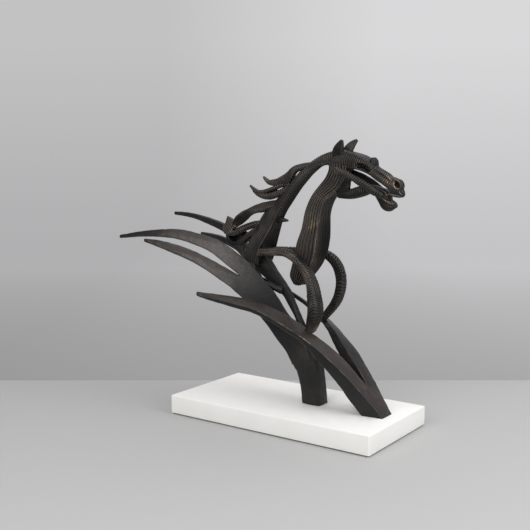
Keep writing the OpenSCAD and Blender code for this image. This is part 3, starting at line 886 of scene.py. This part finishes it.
# The darkened spots in these pieces are painted shade, and their faces that look up are lightened as a painted
# highlight.
blade_piece("rear_stem", REAR_STEM, 1, tip=False, edge=(1.2, 1.2, 4, 4), crowns=(0.3, 1.2, 0.3, 1.2),
            rub=0.25, spots=[(8, -9, 60, 25, 0.6)], warm=[STEM_PAINTED_SHEEN])
blade_piece("spine_strut", SPINE_STRUT, -1, tip=False, rub=0.2)
blade_piece("near_haunch", NEAR_HAUNCH, -1, tip=False, rub=0.3, warm=[*BLADE_GLOW, STEM_PAINTED_SHEEN],
            soot=[(-28, -18, 145, 46, 0.6)])
blade_piece("near_upper_blade", NEAR_UPPER_BLADE, -1, rub=0.3, spots=[(-135, -38, 238, 30, 0.6)],
            warm=BLADE_GLOW)
blade_piece("near_lower_blade", NEAR_LOWER_BLADE, -1, rub=0.3, warm=BLADE_GLOW)
blade_piece("far_haunch", FAR_HAUNCH, 1, tip=False, rub=0.25)
blade_piece("far_upper_blade", FAR_UPPER_BLADE, 1, rub=0.3)
blade_piece("far_lower_blade", FAR_LOWER_BLADE, 1, rub=0.3)
blade_piece("front_stem", FRONT_STEM, 1, tip=False, edge=1.2, rub=0.4, dusted=0.45)
blade_piece("near_front_blade", NEAR_FRONT_BLADE, -1, rub=0.2, dusted=0.55,
            spots=[(-7, -50, 140, 13, 1.0), (15, -47, 130, 13, 1.0), (34, -42, 119, 13, 1.0),
                   (53, -38, 106, 13, 0.9), (72, -34, 92, 13, 0.8), (90, -27, 73, 12, 0.8),
                   (105, -22, 57, 12, 0.8)])
blade_piece("far_front_blade", FAR_FRONT_BLADE, 1, rub=0.4, dusted=0.25, soot=[(70, 20, 95, 35, 0.5)])

# How far a strand's four corners are rounded, as a part of its thinner way.
SOFT = (0.3, 0.3, 0.3, 0.3)
ROUND = (0.45, 0.45, 0.45, 0.45)
BAND = (0.12, 0.3, 0.3, 0.12)
FUSED_PITCH = 2.9


def strand_piece(node, stations, side=1, slot="bronze_ribbed", pitch=3.6, height=1.2, slant=0.0,
                 stray=CROSS_STRAY, swirl=0.0, roundness=SOFT, crowns=STRAND_CROWNS, **wear):
    loft = strand_loft(stations, side, STRAND_SPACING, roundness, crowns)
    loft.dome(first=True, last=True)
    if height:
        loft.push(cross_ribs(loft, pitch, height, slant, stray, swirl))
    loft.push(satin(loft, 0.1))
    put(loft, node, slot, **wear)


def domed(stations, side=1, roundness=ROUND):
    """A plain strand with rounded ends, to be fused with others."""
    loft = strand_loft(stations, side, FUSED_SPACING, roundness)
    loft.dome(first=True, last=True)
    return loft


def fused_piece(node, lofts, height=0.95, grain=None, **wear):
    """Strands fused into one; grain is the direction (x, z) that the ribs follow one another in."""
    surface = Fused(lofts)
    if grain:
        phase = surface.points[:, [0, 2]] @ np.array(grain) / FUSED_PITCH + CROSS_STRAY * wander(surface.points)
        surface.push(height * ridges(phase))
    else:
        surface.push(cross_ribs(surface, FUSED_PITCH, height))
    put(surface, node, "bronze_ribbed", **wear)


# The darkened spots in these strands are painted shade.
strand_piece("haunch_bridge", HAUNCH_BRIDGE, slot="bronze_satin", height=0.0, rub=0.2, roundness=ROUND)
strand_piece("near_foreleg", NEAR_FORELEG, pitch=3.4, height=1.4, stray=0.9, slant=1.2, swirl=0.4, rub=0.35,
             crest=1.0, warm=[(28, -28, 195, 26, 0.35)], soot=[(34, -22, 140, 20, 0.5)])
strand_piece("far_foreleg", FAR_FORELEG, pitch=4.0, height=1.8, stray=0.6, slant=0.5, swirl=0.35, rub=0.08,
             crest=0.4, roundness=BAND)
strand_piece("mane_lock_1", LOCK_1, pitch=2.9, height=1.0, slant=0.8, rub=0.15, crest=1.0,
             warm=[(5, -5, 330, 20, 0.3)])
fused_piece("mane_lock_2", [domed(LOCK_2_LOWER), domed(LOCK_2_UPPER), domed(LOCK_2_WEB)], rub=0.15,
            warm=[(-30, -6, 300, 26, 0.3)])
strand_piece("mane_lock_3", LOCK_3, pitch=2.8, height=0.9, slant=0.8, rub=0.12, crest=1.0, roundness=BAND,
             warm=[(-52, -8, 278, 16, 0.6)], soot=[(-90, -9, 262, 14, 0.7)])
fused_piece("mane_lock_4", [domed(LOCK_4, roundness=BAND), domed(LOCK_4_LEAF)], grain=(0.62, 0.78), rub=0.1,
            spots=[(-90, -12, 243, 12, 0.5)], warm=[(-104, -10, 252, 14, 0.6)])
fused_piece("mane_lock_5", [domed(LOCK_5, roundness=BAND), domed(LOCK_5_WEB), domed(LOCK_5_FIN)], height=0.5,
            rub=0.05, crest=0.3, soot=[(-92, 0, 236, 16, 0.9)])
strand_piece("neck_barb", NECK_BARB, height=0.3, roundness=ROUND)
CUPPED_EAR = (0.8, 0.4, -1.6, -0.6)
strand_piece("near_ear", NEAR_EAR, height=0.4, pitch=2.6, rub=0.1, crest=0.4, crowns=CUPPED_EAR,
             soot=[(64, -12, 350, 8, 0.5)])
strand_piece("far_ear", FAR_EAR, height=0.4, pitch=2.6, rub=0.1, crest=0.5, crowns=CUPPED_EAR,
             warm=[(72, 4, 352, 16, 1.0)])
strand_piece("near_cheek", NEAR_CHEEK, pitch=2.9, height=1.0, crest=0.8, rub=0.25,
             spots=[(66, -13, 325, 12, 0.6)], warm=[(70, -13, 323, 16, 0.5)])
strand_piece("far_cheek", FAR_CHEEK, pitch=2.8, height=0.6, rub=0.05, crest=0.2, soot=[(90, 9, 314, 40, 0.8)])
strand_piece("near_jowl", NEAR_JOWL, roundness=ROUND, pitch=3.2, height=0.3, rub=0.05, crest=0.2,
             crowns=(0.3, 0.3, 0.3, -1.8), soot=[(66, -11, 308, 13, 0.9)])
strand_piece("far_jowl", FAR_JOWL, roundness=ROUND, pitch=3.2, height=0.3, rub=0.05, crest=0.3,
             crowns=(0.3, -1.8, 0.3, 0.3))
strand_piece("near_brow", BROW, -1, roundness=ROUND, pitch=2.2, height=0.4, rub=0.1, crest=0.4)
strand_piece("far_brow", BROW, 1, roundness=ROUND, pitch=2.2, height=0.4, rub=0.1, crest=0.4)


# The darkened spots in the bodies below are painted shade.
def neck_crest():
    loft = body_loft(NECK_CREST, crowns=(1.2, -2.0, 1.2, 0.8), radii=(3.0, 4.0, 4.0, 3.0), spacing=0.5)
    lower = smoothstep(95, 135, loft.run)[:, None]
    wound = cross_ribs(loft, 3.1, 1.4, slant=0.6)
    drawn = long_ribs(loft, (8, 9, 8, 3), 1.6)
    loft.push((1 - lower) * wound + lower * drawn)
    put(loft, "neck_crest", "bronze_ribbed", rub=0.15, crest=1.0,
        warm=[(10, -8, 330, 20, 0.3), (-66, -14, 232, 14, 0.3)], soot=[(-22, -6, 285, 30, 0.3)])


def chest():
    loft = body_loft(CHEST, crowns=(1.0, -1.5, 1.0, 0.6), radii=(2.5, 1.4, 1.4, 2.5), spacing=0.9,
                     side_points=64)
    loft.push(long_ribs(loft, (6, 6, 6, 3), 2.3) + 0.45 * long_ribs(loft, (13, 12, 13, 6), 1.0))
    put(loft, "chest", "bronze_ribbed", rub=0.15, crest=0.9,
        spots=[(12, -15, 248, 20, 2.0), (26, -15, 228, 13, 1.8), (32, -14, 214, 10, 1.2)],
        warm=[(10, -14, 250, 40, 1.0), (36, -12, 300, 20, 0.4)],
        soot=[(43, 6, 250, 20, 0.8), (40, 6, 222, 18, 0.8), (4, -8, 183, 14, 0.6)])


def nostril_ring(side):
    """A raised oval rim round one nostril."""
    x, out, z = NOSTRIL
    wide, tall = NOSTRIL_SIZE
    level, steep = NOSTRIL_LEAN
    rows = []
    for a in np.linspace(0, 2 * math.pi, 17):
        along, across = wide * math.cos(a), tall * math.sin(a)
        east, north = level * along + steep * across, -steep * along + level * across
        rows.append([x + east, out - NOSTRIL_FLARE * east, z + north, NOSTRIL_RIM, NOSTRIL_RIM])
    return closed_tube(rows, side)


def closed_tube(rows, side):
    """A tube whose rows go once round in an upright plane; the last row is the first one again."""
    rows = np.array(rows)
    path = rows[:, :3] * [1, side, 1]
    along = unit(np.roll(path[:-1], -1, axis=0) - np.roll(path[:-1], 1, axis=0))
    along = np.vstack([along, along[:1]])
    across = np.array([[0, 1, 0]]) * np.ones((len(path), 1))
    up = np.cross(along, across)
    corners = band_corners(path, up * rows[:, 3:4] / 2, across * rows[:, 4:5] / 2)
    rounding = 1.2
    flat = (0, 0, 0, 0)
    return Loft(corners, np.arange(len(path)) * 1.0, rounding, flat, side_points=2, corner_points=4)


def mirrored(stations):
    return [domed(stations, side) for side in (-1, 1)]


def lip(stations):
    """A lip goes from one corner of the mouth round the front to the other."""
    back = [[x, -side, z, tall, thick] for x, side, z, tall, thick in stations[-2::-1]]
    return domed([*stations, *back])


def hollowed(surface, place, size, depth, tilt):
    """Sinks an oval hollow into both sides of the head; tilt is how far its long way dips, in degrees."""
    east, north = surface.points[:, 0] - place[0], surface.points[:, 2] - place[1]
    dip = math.radians(tilt)
    along = east * math.cos(dip) - north * math.sin(dip)
    across = east * math.sin(dip) + north * math.cos(dip)
    away = np.hypot(along / size[0], across / size[1])
    facing = smoothstep(0.1, 0.5, np.abs(surface.normals()[:, 1]))
    return -depth * smoothstep(1.15, 0.55, away) * facing


def skull():
    core = body_loft(SKULL, crowns=(1.5, 0.3, 1.5, 0.8), radii=(3.5, 2.5, 2.5, 3.5), spacing=0.8)
    core.dome(last=True)
    surface = Fused([core, *mirrored(NOSE_RIDGE), nostril_ring(-1), nostril_ring(1), lip(UPPER_LIP)])
    surface.push(hollowed(surface, *EYE_HOLLOW))
    surface.push(hollowed(surface, *NOSTRIL_HOLLOW))
    muzzle = smoothstep(126, 138, surface.points[:, 0])
    crown = smoothstep(336, 346, surface.points[:, 2])
    surface.push(cross_ribs(surface, 2.8, 0.85) * (1 - 0.85 * muzzle) * (1 - 0.6 * crown))
    put(surface, "skull", "bronze_ribbed", rub=0.12, crest=0.55,
        spots=[(141, -7, 309, 8, 1.2), (143, -6, 297, 9, 1.5), (130, -7, 318, 8, 0.8)],
        warm=[(62, -9, 334, 14, 0.35), (128, -8, 314, 15, 0.6)],
        soot=[(98, -11, 328.5, 5.5, 0.8), (104, -11, 326, 4.5, 0.8), (98, 11, 328, 7, 1.0),
              (141.6, -5, 309, 3, 1.0)])


def lower_jaw():
    core = body_loft(LOWER_JAW, crowns=(1.0, 0.3, 1.0, 0.3), radii=(2.5, 2.5, 2.5, 2.5), spacing=0.8)
    core.dome(last=True)
    surface = Fused([core, lip(LOWER_LIP), *mirrored(MOUTH_FOLD)])
    chin = smoothstep(112, 122, surface.points[:, 0])
    surface.push(cross_ribs(surface, 2.8, 0.6) * (1 - 0.7 * chin))
    put(surface, "lower_jaw", "bronze_ribbed", rub=0.12, crest=0.35,
        spots=[(134, -6, 288, 9, 2.2), (126, -7, 292, 6, 1.8)], soot=[(85, -10, 298, 20, 0.3)])


neck_crest()
chest()
skull()
lower_jaw()


# ---------------------------------------------------------------- plinth and fittings
# Points closer than MERGE metres are joined, faces within FLAT_ANGLE degrees become one, and edges of over
# EDGE_ANGLE degrees are rounded.
MERGE = 1e-6
FLAT_ANGLE = 0.5
EDGE_ANGLE = 50
PLINTH_SHARP = 35


def softened(node, name, width, segments, material):
    """A CAD solid's own shape again, with its hard edges rounded off by width, in metres."""
    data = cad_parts[node].data.copy()
    data.name = name
    work = bmesh.new()
    work.from_mesh(data)
    bmesh.ops.remove_doubles(work, verts=work.verts, dist=MERGE)
    bmesh.ops.dissolve_limit(work, angle_limit=math.radians(FLAT_ANGLE), verts=work.verts, edges=work.edges)
    edges = [e for e in work.edges
             if len(e.link_faces) == 2 and e.calc_face_angle() > math.radians(EDGE_ANGLE)]
    bmesh.ops.bevel(work, geom=edges, offset=width, segments=segments, profile=0.5, affect="EDGES")
    bmesh.ops.recalc_face_normals(work, faces=work.faces)
    work.to_mesh(data)
    work.free()
    finished(data, name, node, material, PLINTH_SHARP)


softened("plinth", "white_plinth", 0.0009, 4, white_lacquer())
softened("base_felt", "felt_pad", 0.0004, 3, felt_cloth())
steel = zinc_steel()
for node in ("foot_bolts", "foot_washers"):
    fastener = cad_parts[node]
    fastener.data.materials.clear()
    fastener.data.materials.append(steel)

# ---------------------------------------------------------------- stage
VIEW_YAW = 0.61556
VIEW_PITCH = 0.12118
CAMERA_PLACE = (0.59413, -0.90870, 0.33632)
FOCAL_LENGTH = 57.74
SENSOR_WIDTH = 36
FAR_CLIP = 30
# The floor ends a little behind the statue, where the backdrop starts just below it.
FLOOR_END = 0.20
OVERLAP = 0.02
DROP = 0.003
COVE_START = 2.2
COVE_RADIUS = 0.9
BACKDROP_TOP = 4.0
SHEET_HALF = 4.0
LIGHT_AIM = (0, 0, 0.1)


def sheet_place(tree):
    place = tree.nodes.new("ShaderNodeTexCoord")
    split = tree.nodes.new("ShaderNodeSeparateXYZ")
    tree.links.new(place.outputs["Object"], split.inputs["Vector"])
    return split.outputs


def scaled(tree, colour, factor):
    shade = tree.nodes.new("ShaderNodeVectorMath")
    shade.operation = "SCALE"
    tree.links.new(colour, shade.inputs[0])
    tree.links.new(factor, shade.inputs["Scale"])
    return shade.outputs["Vector"]


def floor_paper():
    """Pale paper with painted shade, a little darker to the left and towards the back."""
    material, tree, shader = nodes_of("floor_paper")
    place = sheet_place(tree)
    depth = remap(tree, place["Y"], -0.6, 0.2)
    colour = mix_colour(tree, depth, (0.55, 0.55, 0.545), (0.465, 0.465, 0.46))
    colour = scaled(tree, colour, remap(tree, place["X"], -0.6, 0.6, 0.88, 1.0))
    tree.links.new(colour, shader.inputs["Base Color"])
    shader.inputs["Roughness"].default_value = 0.9
    shader.inputs["Specular IOR Level"].default_value = 0.2
    bump(tree, shader, noise_node(tree, 700), 0.05, 0.0002)
    return material


def backdrop_painted_glow():
    """Paper behind the floor that glows with painted light, brighter upwards and to the right."""
    material, tree, shader = nodes_of("backdrop_painted_glow")
    place = sheet_place(tree)
    low = mix_colour(tree, remap(tree, place["Y"], 0.2, 1.6), (0.36, 0.36, 0.365), (0.50, 0.495, 0.505))
    high = mix_colour(tree, remap(tree, place["Z"], 0.0, 0.9), low, (0.63, 0.62, 0.63))
    colour = scaled(tree, high, remap(tree, place["X"], -0.5, 0.5, 0.86, 1.1))
    tree.links.new(colour, shader.inputs["Emission Color"])
    shader.inputs["Emission Strength"].default_value = 1.0
    shader.inputs["Base Color"].default_value = (0.01, 0.01, 0.01, 1)
    shader.inputs["Specular IOR Level"].default_value = 0.0
    shader.inputs["Roughness"].default_value = 1.0
    return material


def stage_sheet(name, profile, material):
    """A wide sheet whose profile is a row of [depth, height], laid square to the camera."""
    points = [(x, y, z) for y, z in profile for x in (-SHEET_HALF, SHEET_HALF)]
    faces = [(2 * k, 2 * k + 1, 2 * k + 3, 2 * k + 2) for k in range(len(profile) - 1)]
    data = bpy.data.meshes.new(name)
    data.from_pydata(points, [], faces)
    data.shade_smooth()
    data.materials.append(material)
    sheet = bpy.data.objects.new(name, data)
    sheet.rotation_euler = (0, 0, VIEW_YAW)
    bpy.context.scene.collection.objects.link(sheet)


cove = [(COVE_START + COVE_RADIUS * math.sin(a), COVE_RADIUS - COVE_RADIUS * math.cos(a) - DROP)
        for a in np.linspace(0, math.pi / 2, 13)]
wall_top = (COVE_START + COVE_RADIUS, BACKDROP_TOP)
stage_sheet("floor", [(-SHEET_HALF, 0.0), (FLOOR_END, 0.0)], floor_paper())
stage_sheet("backdrop", [(FLOOR_END - OVERLAP, -DROP), *cove, wall_top], backdrop_painted_glow())


def softbox(name, place, size, power):
    light = bpy.data.lights.new(name, "AREA")
    light.shape = "RECTANGLE"
    light.size, light.size_y = size
    light.energy = power
    lamp = bpy.data.objects.new(name, light)
    lamp.location = place
    aim = Vector(LIGHT_AIM) - lamp.location
    lamp.rotation_euler = aim.to_track_quat("-Z", "Y").to_euler()
    bpy.context.scene.collection.objects.link(lamp)


softbox("overhead", (0.15, 0.35, 1.7), (2.2, 2.0), 14)
softbox("front_panel", (0.10, -2.0, 1.35), (2.0, 1.2), 29)
softbox("right_panel", (2.0, 0.0, 1.2), (1.4, 1.4), 24)

world = bpy.data.worlds.new("studio")
bpy.context.scene.world = world
world.use_nodes = True
world.node_tree.nodes["Background"].inputs["Color"].default_value = (0.80, 0.81, 0.83, 1)
world.node_tree.nodes["Background"].inputs["Strength"].default_value = 0.40

camera_data = bpy.data.cameras.new("camera")
camera_data.sensor_width = SENSOR_WIDTH
camera_data.lens = FOCAL_LENGTH
camera_data.clip_end = FAR_CLIP
camera = bpy.data.objects.new("camera", camera_data)
camera.location = CAMERA_PLACE
camera.rotation_euler = (math.pi / 2 - VIEW_PITCH, 0, VIEW_YAW)
bpy.context.scene.collection.objects.link(camera)
bpy.context.scene.camera = camera
bpy.context.scene.view_settings.view_transform = "Standard"
